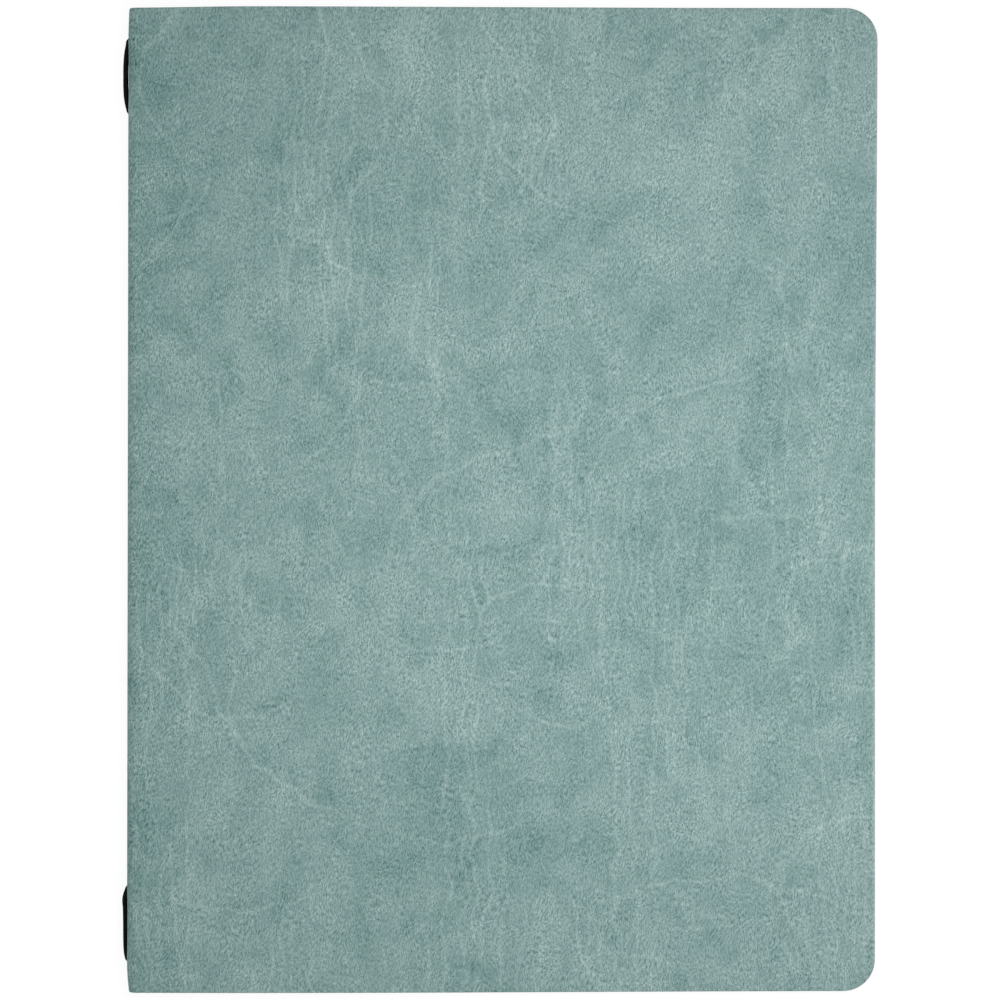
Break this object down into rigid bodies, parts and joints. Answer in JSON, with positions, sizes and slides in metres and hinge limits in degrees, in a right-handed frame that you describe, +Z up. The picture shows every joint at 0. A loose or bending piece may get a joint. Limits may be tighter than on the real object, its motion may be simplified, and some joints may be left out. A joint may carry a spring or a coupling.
{
  "type": "menu cover",
  "caption": "Closed menu cover of soft leather-look sheet folded round a narrow spine, with rounded fore-edge corners and a black elastic cord threaded through the spine.",
  "frame": {"origin": "middle of the closed cover's box on the plane that it lies on; the cord's humps on the spine count in the box", "axes": "+X from the spine to the fore edge, +Y from the tail to the head, +Z up out of the front cover"},
  "size_m": [0.2373, 0.31, 0.009],
  "materials": {
    "sheet": "matt mottled grey-green suede-look synthetic leather",
    "cord": "matt black braided elastic"
  },
  "bodies": {
    "back_cover": {"back_cover": "sheet"},
    "spine": {"spine": "sheet", "elastic_cord": "cord"},
    "front_cover": {"front_cover": "sheet"}
  },
  "joints": [
    {"name": "spine_hinge", "type": "hinge", "parent": "back_cover", "child": "spine", "pos_m": [-0.11597, 0, 0.00088], "axis": [0, -1, 0], "range_deg": [0, 90]},
    {"name": "front_hinge", "type": "hinge", "parent": "spine", "child": "front_cover", "pos_m": [-0.11597, 0, 0.00812], "axis": [0, -1, 0], "range_deg": [0, 91]}
  ]
}
